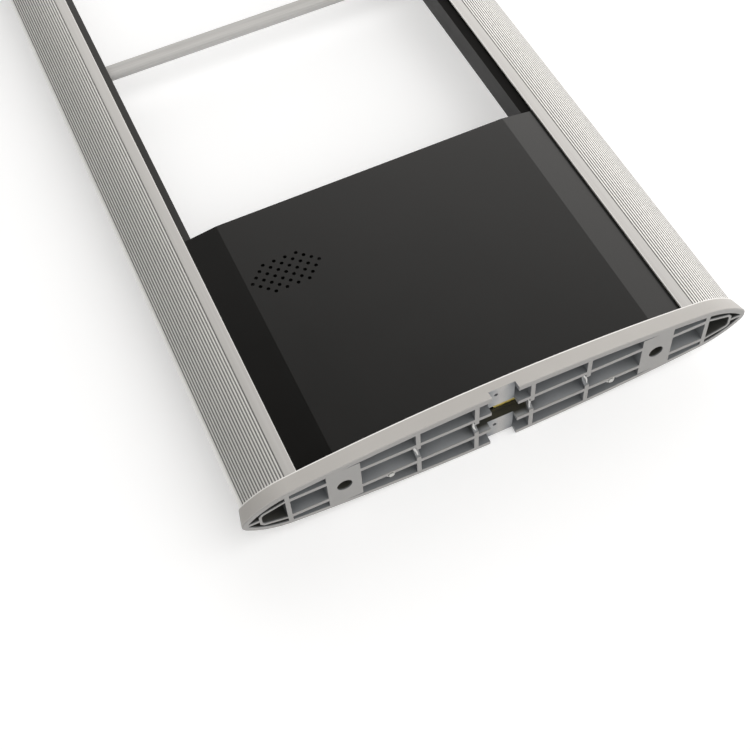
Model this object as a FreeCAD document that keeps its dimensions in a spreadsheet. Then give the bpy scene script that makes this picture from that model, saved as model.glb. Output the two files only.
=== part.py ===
import FreeCAD, Part
import math
import os
import Sketcher

# Anti-theft security gate: one antenna panel of a pair that stands at a shop's door.
# The panel lies on its back. X runs across it, +Y runs from the foot to the head,
# and +Z points out of its front face. Every body is drawn about the panel's middle
# plane from the foot's rim up, and then placed so that the origin is under the middle of
# the panel, on the surface that it lies on.

doc = FreeCAD.newDocument("SecurityGate")
sheet = doc.addObject("Spreadsheet::Sheet", "Sizes")

DRIVING_SIZES = [
    ("gate_height", 1600), ("foot_length", 420), ("foot_depth", 65), ("foot_height", 15),
    ("foot_wall", 4.7), ("foot_deck", 2.5), ("foot_taper", 1.9), ("foot_top_inset", 3),
    ("foot_bow_radius", 1455), ("top_bow_radius", 1285), ("bow_inset", 38),
    ("foot_tip_radius", 8.6), ("top_tip_radius", 5.6), ("rim_round", 1),
    ("rib_offset", 11.5), ("rib_width", 3.6), ("rib_bite", 1.2),
    ("inner_rib_x", 23), ("middle_rib_x", 70.6), ("end_rib_inset", 36.2),
    ("boss_width", 26.8), ("anchor_spacing", 260), ("anchor_hole", 12),
    ("channel_width", 22), ("channel_depth", 6.5), ("cable_lip", 0.5),
    ("cable_notch", 12), ("landing_hole", 3.2), ("landing_hole_x", 4.4),
    ("well_wall", 2), ("well_length", 21), ("well_half", 12.8), ("well_shoulder", 8),
    ("well_nose", 5), ("well_nose_run", 2.6), ("tip_rib", 2.4),
    ("fixing_x", 93), ("fixing_drop", 15.3), ("fixing_screw", 4), ("fixing_boss", 8),
    ("washer_level", 1.9), ("washer_thick", 0.6), ("screw_head", 7.6), ("screw_head_height", 2.4),
    ("screw_inset", 22), ("screw_bore_gap", 0.6), ("tongue_width", 5.5), ("tongue_length", 14),
    ("opening_inset", 50.5), ("profile_inset", 4), ("profile_depth", 38.6),
    ("flange_thick", 2), ("flat_band", 4.5), ("web_inset", 34), ("web_thick", 1.8),
    ("profile_tip_radius", 7.6), ("profile_wall", 2.35), ("screw_port", 9), ("port_rib", 2.2),
    ("groove_pitch", 2.272), ("groove_first", 5.2), ("groove_depth", 0.7), ("groove_width", 1.2),
    ("trim_stand", 6.9), ("trim_face_depth", 24), ("trim_depth", 28.6),
    ("trim_wall", 1.9), ("trim_clear", 7),
    ("cover_top", 253), ("cover_half_depth", 21.2), ("cover_slope", 28.2),
    ("cover_edge_depth", 16.9), ("cover_wall", 2.2), ("cover_gap", 0.4), ("cover_lap", 3),
    ("cover_foot_gap", 0.6),
    ("grille_pitch", 6.7), ("grille_hole", 3), ("grille_drop", 69),
    ("speaker_size", 62), ("speaker_drop", 19), ("speaker_rim", 2),
    ("crossbar_y", 487), ("crossbar_size", 14), ("crossbar_wall", 1.5),
    ("plug_stem", 5), ("plug_length", 14),
    ("head_box", 117), ("upper_window", 342), ("lens_height", 22), ("lens_wall", 3),
    ("lamp_board_width", 32), ("lamp_size", 5), ("lamp_margin", 24.5), ("pillar_size", 8),
    ("winding_width", 7), ("winding_depth", 11), ("winding_rise", 31), ("winding_z", -4),
    ("winding_bend", 16),
    ("chassis_inset", 34.5), ("chassis_drop", 13), ("chassis_z", 17), ("chassis_sheet", 1.5),
    ("standoff_height", 8), ("standoff_size", 6), ("board_sheet", 1.6), ("board_rise", 51),
    ("board_drop", 14), ("board_margin", 5), ("board_gap", 8), ("main_board_width", 128),
    ("power_board_width", 46), ("board_screw", 2.5), ("board_screw_head", 5.6),
    ("ring_core", 25), ("ring_length", 10), ("ring_x", 9), ("ring_z", -1), ("ring_stand", 0.8),
]

for row, (alias, number) in enumerate(DRIVING_SIZES, start=1):
    sheet.set("A%d" % row, alias)
    sheet.set("B%d" % row, str(number))
    sheet.setAlias("B%d" % row, alias)
doc.recompute()


class Size:
    """A length that carries its number and the expression that drives it."""

    def __init__(self, number, words):
        self.number = float(number)
        self.words = words

    def join(self, other, sign, number):
        words = other.words if isinstance(other, Size) else "(%r)" % float(other)
        return Size(number, "(%s %s %s)" % (self.words, sign, words))

    def __add__(self, other):
        return self.join(other, "+", self.number + plain(other))

    def __sub__(self, other):
        return self.join(other, "-", self.number - plain(other))

    def __mul__(self, other):
        return self.join(other, "*", self.number * plain(other))

    def __truediv__(self, other):
        return self.join(other, "/", self.number / plain(other))

    def __radd__(self, other):
        return self + other

    def __rmul__(self, other):
        return self * other

    def __rsub__(self, other):
        return -self + other

    def __neg__(self):
        return self * -1


def plain(value):
    return value.number if isinstance(value, Size) else float(value)


def size(alias):
    return Size(sheet.get(alias), "Sizes.%s" % alias)


def bind(thing, name, value):
    """Set a property and, when the value comes from the sheet, its expression too."""
    if isinstance(value, Size):
        thing.setExpression(name, value.words)
    else:
        setattr(thing, name, value)


HEIGHT = size("gate_height")
FOOT_H = size("foot_height")
DECK = size("foot_deck")
DECK_Y = FOOT_H - DECK
MIDDLE = size("foot_depth") / 2
HEAD_Y = HEIGHT - FOOT_H
HALF_HEIGHT = HEIGHT / 2
GAP = size("cover_gap")

# Places across the panel, all counted in from the foot's two ends
FOOT_HALF = size("foot_length") / 2
OPENING = FOOT_HALF - size("opening_inset")
WEB_X = FOOT_HALF - size("web_inset")
PROFILE_TIP = FOOT_HALF - size("profile_inset")
SCREW_X = FOOT_HALF - size("screw_inset")
END_RIB = FOOT_HALF - size("end_rib_inset")
BOW_SPAN = FOOT_HALF - size("bow_inset")
TRIM_FACE = OPENING - size("trim_stand")
COVER_HALF = OPENING + size("cover_lap")
COVER_FLAT = OPENING - size("cover_slope") - size("cover_foot_gap")
CHASSIS_HALF = OPENING - size("chassis_inset")

# Places along the panel, counted up from the foot or down from the head
LENS_Y = HEAD_Y - size("head_box")
BAR_LEVELS = (size("crossbar_y"), LENS_Y - size("upper_window"))
WIND_LOW = FOOT_H + size("winding_rise")
TRIM_START = WIND_LOW + size("winding_width") + size("trim_clear")


# ---------------------------------------------------------------- sketches and bodies

def new_body(label):
    body = doc.addObject("PartDesign::Body", label + "_body")
    body.Label = label
    place = FreeCAD.Vector(0, -HALF_HEIGHT.number, MIDDLE.number)
    body.Placement = FreeCAD.Placement(place, FreeCAD.Rotation())
    body.setExpression("Placement.Base.y", (-HALF_HEIGHT).words)
    body.setExpression("Placement.Base.z", MIDDLE.words)
    return body


def plane_of(body, role):
    for feature in body.Origin.OriginFeatures:
        if feature.Role == role:
            return feature
    raise ValueError(role)


def new_sketch(body, role, name, level):
    """A sketch on an origin plane, moved along that plane's own normal to a level."""
    sketch = body.newObject("Sketcher::SketchObject", name)
    sketch.AttachmentSupport = [(plane_of(body, role), "")]
    sketch.MapMode = "FlatFace"
    sign = -1 if role == "XZ_Plane" else 1
    shift = FreeCAD.Vector(0, 0, sign * plain(level))
    sketch.AttachmentOffset = FreeCAD.Placement(shift, FreeCAD.Rotation())
    if isinstance(level, Size):
        sketch.setExpression("AttachmentOffset.Base.z", (level * sign).words)
    return sketch


def pin_point(sketch, edge, end, point):
    """Drive one sketch vertex from the sheet where its coordinates come from there."""
    for kind, value in zip(("DistanceX", "DistanceY"), point):
        index = sketch.addConstraint(Sketcher.Constraint(kind, -1, 1, edge, end, plain(value)))
        if isinstance(value, Size):
            sketch.setExpression("Constraints[%d]" % index, value.words)


def polygon(sketch, points):
    """A closed loop of straight edges with every corner driven."""
    first = None
    for start, stop in zip(points, points[1:] + points[:1]):
        a = FreeCAD.Vector(plain(start[0]), plain(start[1]), 0)
        b = FreeCAD.Vector(plain(stop[0]), plain(stop[1]), 0)
        edge = sketch.addGeometry(Part.LineSegment(a, b), False)
        first = edge if first is None else first
    last = first + len(points) - 1
    for edge in range(first, last + 1):
        following = edge + 1 if edge < last else first
        sketch.addConstraint(Sketcher.Constraint("Coincident", edge, 2, following, 1))
    for number, point in enumerate(points):
        pin_point(sketch, first + number, 1, point)


def rectangle(sketch, x_low, x_high, y_low, y_high):
    polygon(sketch, [(x_low, y_low), (x_high, y_low), (x_high, y_high), (x_low, y_high)])


def circle(sketch, x, y, diameter):
    centre = FreeCAD.Vector(plain(x), plain(y), 0)
    ring = Part.Circle(centre, FreeCAD.Vector(0, 0, 1), plain(diameter) / 2)
    edge = sketch.addGeometry(ring, False)
    index = sketch.addConstraint(Sketcher.Constraint("Radius", edge, plain(diameter) / 2))
    if isinstance(diameter, Size):
        sketch.setExpression("Constraints[%d]" % index, (diameter / 2).words)
    pin_point(sketch, edge, 3, (x, y))
    return edge


def many_sided(sketch, x, y, diameter):
    """A small round hole or bore, drawn as an octagon of the same width."""
    out = diameter / 2 / math.cos(math.pi / 8)
    corners = []
    for number in range(8):
        turn = math.pi / 8 + math.pi / 4 * number
        corners.append((out * math.cos(turn) + x, out * math.sin(turn) + y))
    polygon(sketch, corners)


def loose_octagon(sketch, x, y, diameter):
    """An octagon placed by its numbers alone, for the many holes of the grille."""
    out = diameter / 2 / math.cos(math.pi / 8)
    corners = []
    for number in range(9):
        turn = math.pi / 8 + math.pi / 4 * number
        corners.append(FreeCAD.Vector(x + out * math.cos(turn), y + out * math.sin(turn), 0))
    sketch.addGeometry([Part.LineSegment(a, b) for a, b in zip(corners, corners[1:])], False)


def arc_through(start, middle, stop):
    points = [FreeCAD.Vector(p[0], p[1], 0) for p in (start, middle, stop)]
    return Part.Arc(points[0], points[1], points[2])


def loop_of(sketch, pieces):
    """A closed loop of lines and arcs. A line is (start, stop), an arc has a middle too."""
    edges = []
    for piece in pieces:
        if len(piece) == 2:
            a, b = [FreeCAD.Vector(p[0], p[1], 0) for p in piece]
            edges.append((sketch.addGeometry(Part.LineSegment(a, b), False), 1, 2))
            continue
        edge = sketch.addGeometry(arc_through(piece[0], piece[1], piece[2]), False)
        begin = sketch.getPoint(edge, 1)
        near = math.hypot(begin.x - piece[0][0], begin.y - piece[0][1]) < 1e-4
        edges.append((edge, 1, 2) if near else (edge, 2, 1))
    for here, after in zip(edges, edges[1:] + edges[:1]):
        sketch.addConstraint(Sketcher.Constraint("Coincident", here[0], here[2], after[0], after[1]))
    return [edge[0] for edge in edges]


def drive_radius(sketch, edge, value):
    index = sketch.addConstraint(Sketcher.Constraint("Radius", edge, plain(value)))
    sketch.setExpression("Constraints[%d]" % index, value.words)


def pad(body, sketch, length, name, along_y=True):
    feature = body.newObject("PartDesign::Pad", name)
    feature.Profile = sketch
    bind(feature, "Length", length)
    feature.Reversed = along_y
    body.Tip = feature
    return feature


def pocket(body, sketch, length, name, along_y=True, centred=False):
    """Cut from the sketch towards +Y (or along the normal's far side) by a length."""
    feature = body.newObject("PartDesign::Pocket", name)
    feature.Profile = sketch
    bind(feature, "Length", length)
    feature.Reversed = not along_y
    if centred:
        feature.Midplane = True
    body.Tip = feature
    before = body.Shape.Volume if not body.Shape.isNull() else 0
    doc.recompute()
    if body.Shape.Volume > before - 1e-6 and before:
        feature.Reversed = not feature.Reversed
        doc.recompute()
    return feature


def extrusion(label, points, start, length, holes=()):
    """A bar of one cross-section that runs along Y."""
    body = new_body(label)
    sketch = new_sketch(body, "XZ_Plane", label + "_section", start)
    polygon(sketch, points)
    for hole in holes:
        polygon(sketch, hole)
    pad(body, sketch, length, label + "_run")
    doc.recompute()
    return body


def plate(label, points, level, thick, holes=()):
    """A flat sheet parallel to the front face, standing on a level along Z."""
    body = new_body(label)
    sketch = new_sketch(body, "XY_Plane", label + "_outline", level)
    polygon(sketch, points)
    for x, y, diameter in holes:
        many_sided(sketch, x, y, diameter)
    pad(body, sketch, thick, label + "_sheet", along_y=False)
    doc.recompute()
    return body


def box_points(x_low, x_high, y_low, y_high):
    return [(x_low, y_low), (x_high, y_low), (x_high, y_high), (x_low, y_high)]


# ---------------------------------------------------------------- loose repeated solids

def spot(x, y, z):
    """A point of the panel's own frame, where the finished pieces stand."""
    return FreeCAD.Vector(plain(x), plain(y) - HALF_HEIGHT.number, plain(z) + MIDDLE.number)


def rod(x, y, z, diameter, length, direction=(0, 1, 0)):
    """A round bar that starts at a point and runs along a direction."""
    return Part.makeCylinder(plain(diameter) / 2, plain(length), spot(x, y, z),
                             FreeCAD.Vector(*direction))


def stud(x, y, z, across, length, direction=(0, 1, 0)):
    """A six-sided bar: a nut, a stand-off or the plain core of a small screw."""
    axis = FreeCAD.Vector(*direction)
    aside = FreeCAD.Vector(1, 0, 0) if abs(axis.x) < 0.5 else FreeCAD.Vector(0, 1, 0)
    other = axis.cross(aside)
    start = spot(x, y, z)
    corners = []
    for number in range(7):
        turn = math.radians(60 * number)
        corners.append(start + aside * (plain(across) / 2 * math.cos(turn))
                       + other * (plain(across) / 2 * math.sin(turn)))
    face = Part.Face(Part.makePolygon(corners))
    return face.extrude(axis * plain(length))


def block(x_low, x_high, y_low, y_high, z_low, z_high):
    size_x, size_y, size_z = [plain(high) - plain(low) for low, high in (
        (x_low, x_high), (y_low, y_high), (z_low, z_high))]
    return Part.makeBox(size_x, size_y, size_z, spot(x_low, y_low, z_low))


def hex_screw(x, y, z, head, head_height, shank, length, direction):
    """A hexagon-head screw whose head's underside is at the point, its shank along direction."""
    back = tuple(-step for step in direction)
    return stud(x, y, z, shank, length, direction).fuse(stud(x, y, z, head, head_height, back))


def keep_group(label, solids):
    feature = doc.addObject("Part::Feature", label + "_group")
    feature.Label = label
    feature.Shape = Part.makeCompound(solids)
    return feature


# ---------------------------------------------------------------- the bowed outline

def tangent_nose(edge, lean, half_length, tip):
    """Radius and centre of the arc that joins a leaning edge to a round tip smoothly."""
    run = edge[0] - (half_length - tip)
    across = run * math.sin(lean) + edge[1] * math.cos(lean)
    radius = (run ** 2 + edge[1] ** 2 - tip ** 2) / (2 * (across - tip))
    centre = (edge[0] - radius * math.sin(lean), edge[1] - radius * math.cos(lean))
    turn = math.atan2(half_length - tip - centre[0], -centre[1])
    return radius, centre, turn


def around(centre, radius, angle):
    return (centre[0] + radius * math.sin(angle), centre[1] + radius * math.cos(angle))


def bowed_outline(half_length, half_depth, bow, tip):
    """Points of a boat-shaped outline: a wide bow's end, a shoulder's middle and its end."""
    span = BOW_SPAN.number
    lean = math.asin(span / bow)
    edge = (span, half_depth - bow + bow * math.cos(lean))
    radius, centre, turn = tangent_nose(edge, lean, half_length, tip)
    return edge, around(centre, radius, (lean + turn) / 2), around(centre, radius, turn)


def mirror(point, x_sign, z_sign):
    return (point[0] * x_sign, point[1] * z_sign)


def outline_height(x, half_depth, bow):
    return half_depth - bow + math.sqrt(bow ** 2 - x ** 2)


def bowed_sketch(body, name, level, half_length, half_depth, bow, tip):
    sketch = new_sketch(body, "XZ_Plane", name, level)
    edge, middle, end = bowed_outline(*[plain(value) for value in (half_length, half_depth, bow, tip)])
    crown = (0.0, plain(half_depth))
    nose = (plain(half_length), 0.0)
    edges = loop_of(sketch, [
        (mirror(edge, -1, 1), crown, edge),
        (edge, middle, end),
        (end, nose, mirror(end, 1, -1)),
        (mirror(end, 1, -1), mirror(middle, 1, -1), mirror(edge, 1, -1)),
        (mirror(edge, 1, -1), mirror(crown, 1, -1), mirror(edge, -1, -1)),
        (mirror(edge, -1, -1), mirror(middle, -1, -1), mirror(end, -1, -1)),
        (mirror(end, -1, -1), mirror(nose, -1, 1), mirror(end, -1, 1)),
        (mirror(end, -1, 1), mirror(middle, -1, 1), mirror(edge, -1, 1)),
    ])
    drive_radius(sketch, edges[0], bow)
    drive_radius(sketch, edges[2], tip)
    return sketch


RIM = (FOOT_HALF, MIDDLE, size("foot_bow_radius"), size("foot_tip_radius"))
TOP = (FOOT_HALF - size("foot_top_inset"), MIDDLE - size("foot_taper"),
       size("top_bow_radius"), size("top_tip_radius"))


def inset(outline, amount):
    """The same outline moved inwards by an even amount."""
    return [value - amount for value in outline]


def inner_height(x):
    """Half depth of the foot's cavity at a distance from the middle."""
    wall = size("foot_wall").number
    return outline_height(plain(x), RIM[1].number - wall, RIM[2].number - wall)


def shell_of_foot(body, rim_level, top_level, name):
    """Flared shell between the rim and the profiles' ends, its rim bevelled all round."""
    bevel = size("rim_round")
    step = bevel if plain(top_level) > plain(rim_level) else -bevel
    edge = bowed_sketch(body, name + "_edge", rim_level, *inset(RIM, bevel))
    rim = bowed_sketch(body, name + "_rim", step + rim_level, *RIM)
    top = bowed_sketch(body, name + "_top", top_level, *TOP)
    loft = body.newObject("PartDesign::AdditiveLoft", name + "_flare")
    loft.Profile = edge
    loft.Sections = [rim, top]
    loft.Ruled = True
    body.Tip = loft
    doc.recompute()
    return loft


def profile_tongues(body, name, level, along_y):
    """Four tongues that stand in the hollow of the side profiles."""
    near = WEB_X + size("web_thick") + GAP
    low = size("rib_offset") - size("tongue_width")
    tongues = new_sketch(body, "XZ_Plane", name, level)
    for side in (1, -1):
        for face in (1, -1):
            rectangle(tongues, near * side, (near + size("tongue_width")) * side,
                      low * face, size("rib_offset") * face)
    pad(body, tongues, size("tongue_length"), name + "_pads", along_y=along_y)
    doc.recompute()


# ---------------------------------------------------------------- foot

foot = new_body("base_foot")
shell_of_foot(foot, 0, FOOT_H, "foot")

cavity = bowed_sketch(foot, "foot_cavity", 0, *inset(RIM, size("foot_wall")))
pocket(foot, cavity, DECK_Y, "foot_hollow")

RIB = size("rib_width") / 2
RIB_Z = size("rib_offset")
ANCHOR_X = size("anchor_spacing") / 2
HALF_BOSS = size("boss_width") / 2
INTO_DECK = DECK_Y + DECK / 2

long_ribs = new_sketch(foot, "XZ_Plane", "long_ribs", 0)
for side in (1, -1):
    rectangle(long_ribs, -END_RIB, END_RIB, RIB_Z * side - RIB, RIB_Z * side + RIB)
pad(foot, long_ribs, INTO_DECK, "long_rib_pads")
doc.recompute()

cross_ribs = new_sketch(foot, "XZ_Plane", "cross_ribs", 0)
for side in (1, -1):
    for station in (size("inner_rib_x"), size("middle_rib_x"), END_RIB):
        reach = size("rib_bite") + inner_height(station)
        rectangle(cross_ribs, station * side - RIB, station * side + RIB, -reach, reach)
    reach = size("rib_bite") + inner_height(ANCHOR_X + HALF_BOSS)
    rectangle(cross_ribs, ANCHOR_X * side - HALF_BOSS, ANCHOR_X * side + HALF_BOSS, -reach, reach)
pad(foot, cross_ribs, INTO_DECK, "cross_rib_pads")
doc.recompute()

# D-shaped screw wells in both noses, each with a short rib out to its tip
WELL = size("well_wall")
WELL_IN = END_RIB + RIB
WELL_OUT = WELL_IN + size("well_length")
SHOULDER_X = WELL_OUT - size("well_nose_run")
wells = new_sketch(foot, "XZ_Plane", "screw_wells", 0)
for side in (1, -1):
    upper = [(END_RIB, size("well_half")), (WELL_IN, size("well_half")),
             (SHOULDER_X, size("well_shoulder")), (WELL_OUT, size("well_nose"))]
    hollow = [(WELL_IN, size("well_half") - WELL), (SHOULDER_X - WELL / 2, size("well_shoulder") - WELL),
              (WELL_OUT - WELL, size("well_nose") - WELL / 2)]
    for line in (upper, hollow):
        lower = [(x, -z) for x, z in reversed(line)]
        polygon(wells, [(x * side, z) for x, z in line + lower])
pad(foot, wells, INTO_DECK, "screw_well_pads")
doc.recompute()

tip_ribs = new_sketch(foot, "XZ_Plane", "tip_ribs", 0)
for side in (1, -1):
    far_end = FOOT_HALF - size("foot_wall") + size("rib_bite")
    rectangle(tip_ribs, (WELL_OUT - WELL / 2) * side, far_end * side,
              -size("tip_rib") / 2, size("tip_rib") / 2)
pad(foot, tip_ribs, INTO_DECK, "tip_rib_pads")
doc.recompute()

# Cable channel across the foot: every wall and rib is cut back to the same depth
CHANNEL = size("channel_width") / 2
channel = new_sketch(foot, "XZ_Plane", "cable_channel", 0)
rectangle(channel, -CHANNEL, CHANNEL, -MIDDLE - 2, MIDDLE + 2)
pocket(foot, channel, size("channel_depth"), "cable_channel_cut")

# Two landings close the outer cells of the channel down to its floor
INNER_WALL = MIDDLE - size("foot_wall")
CELL = RIB_Z - RIB
landings = new_sketch(foot, "XZ_Plane", "channel_landings", size("channel_depth"))
landing_holes = new_sketch(foot, "XZ_Plane", "landing_holes", size("channel_depth"))
LANDING_END = INNER_WALL + size("rib_bite")
for side in (1, -1):
    rectangle(landings, -CHANNEL, CHANNEL, CELL * side, LANDING_END * side)
circle(landing_holes, -size("landing_hole_x"), INNER_WALL * 0.86, size("landing_hole"))
circle(landing_holes, -size("landing_hole_x"), INNER_WALL * -0.63, size("landing_hole"))
pad(foot, landings, INTO_DECK - size("channel_depth"), "landing_pads")
doc.recompute()
pocket(foot, landing_holes, FOOT_H / 4, "landing_hole_cuts")

# The middle cell has no floor: the leads come up from the shop floor there
WAY_X = size("inner_rib_x") - RIB - size("cable_lip")
WAY_Z = CELL - size("cable_lip")
cable_way = new_sketch(foot, "XZ_Plane", "cable_way", DECK_Y - 0.5)
rectangle(cable_way, -WAY_X, WAY_X, -WAY_Z, WAY_Z)
pocket(foot, cable_way, DECK + 1, "cable_way_cut")

# Half-round notches that let the cable run sideways through the middle row of cells
notches = new_sketch(foot, "YZ_Plane", "cable_notches", 0)
circle(notches, 0, 0, size("cable_notch"))
pocket(foot, notches, (size("middle_rib_x") + RIB * 2) * 2, "cable_notch_cuts", centred=True)

# Bosses for the two chassis screws, beside the rear rib, with a seat for the washers
SEAT_Y = size("washer_level") + size("washer_thick")
FIXING_X = size("fixing_x")
FIXING_Z = -size("fixing_drop")
bosses = new_sketch(foot, "XZ_Plane", "chassis_bosses", SEAT_Y)
seats = new_sketch(foot, "XZ_Plane", "washer_seats", 0)
bores = new_sketch(foot, "XZ_Plane", "foot_bores", 0)
for side in (1, -1):
    circle(bosses, FIXING_X * side, FIXING_Z, size("fixing_boss"))
    circle(seats, FIXING_X * side, FIXING_Z, size("fixing_boss") + GAP)
    circle(bores, ANCHOR_X * side, 0, size("anchor_hole"))
    many_sided(bores, FIXING_X * side, FIXING_Z, size("fixing_screw") + size("screw_bore_gap"))
    many_sided(bores, SCREW_X * side, 0, size("fixing_screw") + size("screw_bore_gap"))
pad(foot, bosses, INTO_DECK - SEAT_Y, "chassis_boss_pads")
doc.recompute()
pocket(foot, seats, SEAT_Y, "washer_seat_cuts")
pocket(foot, bores, FOOT_H + 1, "foot_bore_cuts")
profile_tongues(foot, "foot_tongues", FOOT_H, True)


# ---------------------------------------------------------------- side profiles

PROFILE_LENGTH = HEIGHT - FOOT_H * 2
HALF_PROFILE = size("profile_depth") / 2
BAND_END = OPENING + size("flat_band")
FLANGE_IN = HALF_PROFILE - size("flange_thick")


def side_profile(label, side):
    body = new_body(label)
    section = new_sketch(body, "XZ_Plane", label + "_section", FOOT_H)
    half = HALF_PROFILE.number
    lip = FLANGE_IN.number
    edge_x = OPENING.number
    band = BAND_END.number
    web = WEB_X.number
    tip = PROFILE_TIP.number
    nose, centre, turn = tangent_nose((band, half), 0, tip, size("profile_tip_radius").number)
    middle = around(centre, nose, turn / 2)
    end = around(centre, nose, turn)

    def at(x, z):
        return (x * side, z)

    def flip(point):
        return (point[0] * side, -point[1])

    edges = loop_of(section, [
        (at(edge_x, lip), at(edge_x, half)),
        (at(edge_x, half), at(band, half)),
        (at(band, half), at(*middle), at(*end)),
        (at(*end), at(tip, 0), flip(end)),
        (flip(end), flip(middle), at(band, -half)),
        (at(band, -half), at(edge_x, -half)),
        (at(edge_x, -half), at(edge_x, -lip)),
        (at(edge_x, -lip), at(web, -lip)),
        (at(web, -lip), at(web, lip)),
        (at(web, lip), at(edge_x, lip)),
    ])
    drive_radius(section, edges[3], size("profile_tip_radius"))

    # The nose is hollow, with a screw port on a rib that stands out from the web
    wall = size("profile_wall").number
    inside = web + size("web_thick").number
    lead = math.asin((inside - band) / (nose - wall))
    start = around(centre, nose - wall, lead)
    chamber_mid = around(centre, nose - wall, (lead + turn) / 2)
    chamber_end = around(centre, nose - wall, turn)
    port_x = SCREW_X.number
    port = size("screw_port").number / 2
    rib = size("port_rib").number / 2
    meet = port_x - math.sqrt(port ** 2 - rib ** 2)
    loop_of(section, [
        (at(inside, rib), at(*start)),
        (at(*start), at(*chamber_mid), at(*chamber_end)),
        (at(*chamber_end), at(tip - wall, 0), flip(chamber_end)),
        (flip(chamber_end), flip(chamber_mid), flip(start)),
        (flip(start), at(inside, -rib)),
        (at(inside, -rib), at(meet, -rib)),
        (at(meet, -rib), at(port_x + port, 0), at(meet, rib)),
        (at(meet, rib), at(inside, rib)),
    ])
    many_sided(section, SCREW_X * side, 0, size("fixing_screw") + size("screw_bore_gap") / 3)
    pad(body, section, PROFILE_LENGTH, label + "_run")
    doc.recompute()

    # Lengthwise grooves: one V cut, repeated about the nose arc's own axis
    pitch = math.degrees(size("groove_pitch").number / nose)
    first = math.degrees(size("groove_first").number / nose)
    count = int((math.degrees(turn) - first) / pitch) + 1
    for face in (1, -1):
        groove = body.newObject("Sketcher::SketchObject", "%s_groove_%d" % (label, face + 1))
        groove.AttachmentSupport = [(plane_of(body, "XZ_Plane"), "")]
        groove.MapMode = "FlatFace"
        spin = FreeCAD.Rotation(FreeCAD.Vector(0, 0, 1), -first * side * face)
        place = FreeCAD.Vector(band * side, centre[1] * face, -FOOT_H.number)
        groove.AttachmentOffset = FreeCAD.Placement(place, spin)
        mouth = size("groove_width") / 2
        floor = (size("groove_depth") * -1 + nose) * face
        lip_level = (nose + GAP.number / 8) * face
        polygon(groove, [(-mouth, lip_level), (mouth, lip_level),
                         (mouth * 0.3, floor), (-mouth * 0.3, floor)])
        cut = pocket(body, groove, PROFILE_LENGTH, "%s_groove_cut_%d" % (label, face + 1))
        pattern = body.newObject("PartDesign::PolarPattern", "%s_grooves_%d" % (label, face + 1))
        pattern.Originals = [cut]
        pattern.Axis = (groove, ["N_Axis"])
        pattern.Angle = pitch * (count - 1)
        pattern.Occurrences = count
        pattern.Reversed = side * face > 0
        body.Tip = pattern
        doc.recompute()
    return body


side_profile("right_profile", 1)
side_profile("left_profile", -1)


# ---------------------------------------------------------------- black trim strips

STRIP_END = WEB_X - size("cover_gap")
TRIM_Z = size("trim_depth") / 2
FACE_Z = size("trim_face_depth") / 2
STEM_HOLE = size("plug_stem") + GAP


def trim_strip(label, side):
    wall = size("trim_wall")
    bend = OPENING + wall / 3
    upper = [(TRIM_FACE, FACE_Z), (OPENING, TRIM_Z), (STRIP_END, TRIM_Z), (STRIP_END, TRIM_Z - wall),
             (bend, TRIM_Z - wall), (TRIM_FACE + wall, FACE_Z - wall)]
    lower = [(x, -z) for x, z in reversed(upper)]
    points = [(x * side, z) for x, z in upper + lower]
    body = extrusion(label, points, TRIM_START, HEIGHT - TRIM_START * 2)
    holes = new_sketch(body, "YZ_Plane", label + "_holes", 0)
    for level in BAR_LEVELS:
        many_sided(holes, level, 0, STEM_HOLE)
    cut = body.newObject("PartDesign::Pocket", label + "_hole_cuts")
    cut.Profile = holes
    bind(cut, "Length", TRIM_FACE + wall + 1)
    cut.Reversed = side > 0
    body.Tip = cut
    doc.recompute()


trim_strip("right_trim_strip", 1)
trim_strip("left_trim_strip", -1)


# ---------------------------------------------------------------- crossbars

BAR_HALF = TRIM_FACE - GAP
BAR_INSIDE = size("crossbar_size") - size("crossbar_wall") * 2


def crossbar(label, level):
    body = new_body(label)
    ends = new_sketch(body, "YZ_Plane", label + "_section", -BAR_HALF)
    circle(ends, level, 0, size("crossbar_size"))
    circle(ends, level, 0, BAR_INSIDE)
    pad(body, ends, BAR_HALF * 2, label + "_tube", along_y=False)
    doc.recompute()


for label, level in zip(("lower_crossbar", "upper_crossbar"), BAR_LEVELS):
    crossbar(label, level)

# Each six-sided plug fits a tube's end and snaps through its trim strip with a headed stem
plugs = []
for level in BAR_LEVELS:
    for side in (1, -1):
        out = (side, 0, 0)
        snap_x = TRIM_FACE + size("trim_wall") + GAP / 2
        fill = stud(BAR_HALF * side, level, 0, BAR_INSIDE - 0.2, size("plug_length"), (-side, 0, 0))
        stem = stud(BAR_HALF * side, level, 0, size("plug_stem"), snap_x - BAR_HALF, out)
        snap = stud(snap_x * side, level, 0, STEM_HOLE * 1.5, GAP * 4, out)
        plugs.append(fill.fuse([stem, snap]).removeSplitter())
keep_group("crossbar_plugs", plugs)


# ---------------------------------------------------------------- covers

COVER_START = FOOT_H + size("cover_foot_gap")
COVER_TOP = size("cover_top")
WALL = size("cover_wall")
EDGE_Z = size("cover_edge_depth")
TOP_Z = size("cover_half_depth")
SLOPE_END = OPENING - size("cover_foot_gap")
END_SIDE = TRIM_FACE - size("cover_foot_gap")


def mirrored(half_line):
    """A line of points on the right, carried on with its mirror image on the left."""
    return half_line + [(-x, z) for x, z in reversed(half_line)]


def cover_shell(face):
    outer = mirrored([(COVER_HALF, EDGE_Z), (SLOPE_END, EDGE_Z), (COVER_FLAT, TOP_Z)])
    inner = mirrored([(COVER_HALF, EDGE_Z - WALL), (SLOPE_END - GAP, EDGE_Z - WALL),
                      (COVER_FLAT - GAP, TOP_Z - WALL)])
    return [(x, z * face) for x, z in outer + inner[::-1]]


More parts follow.
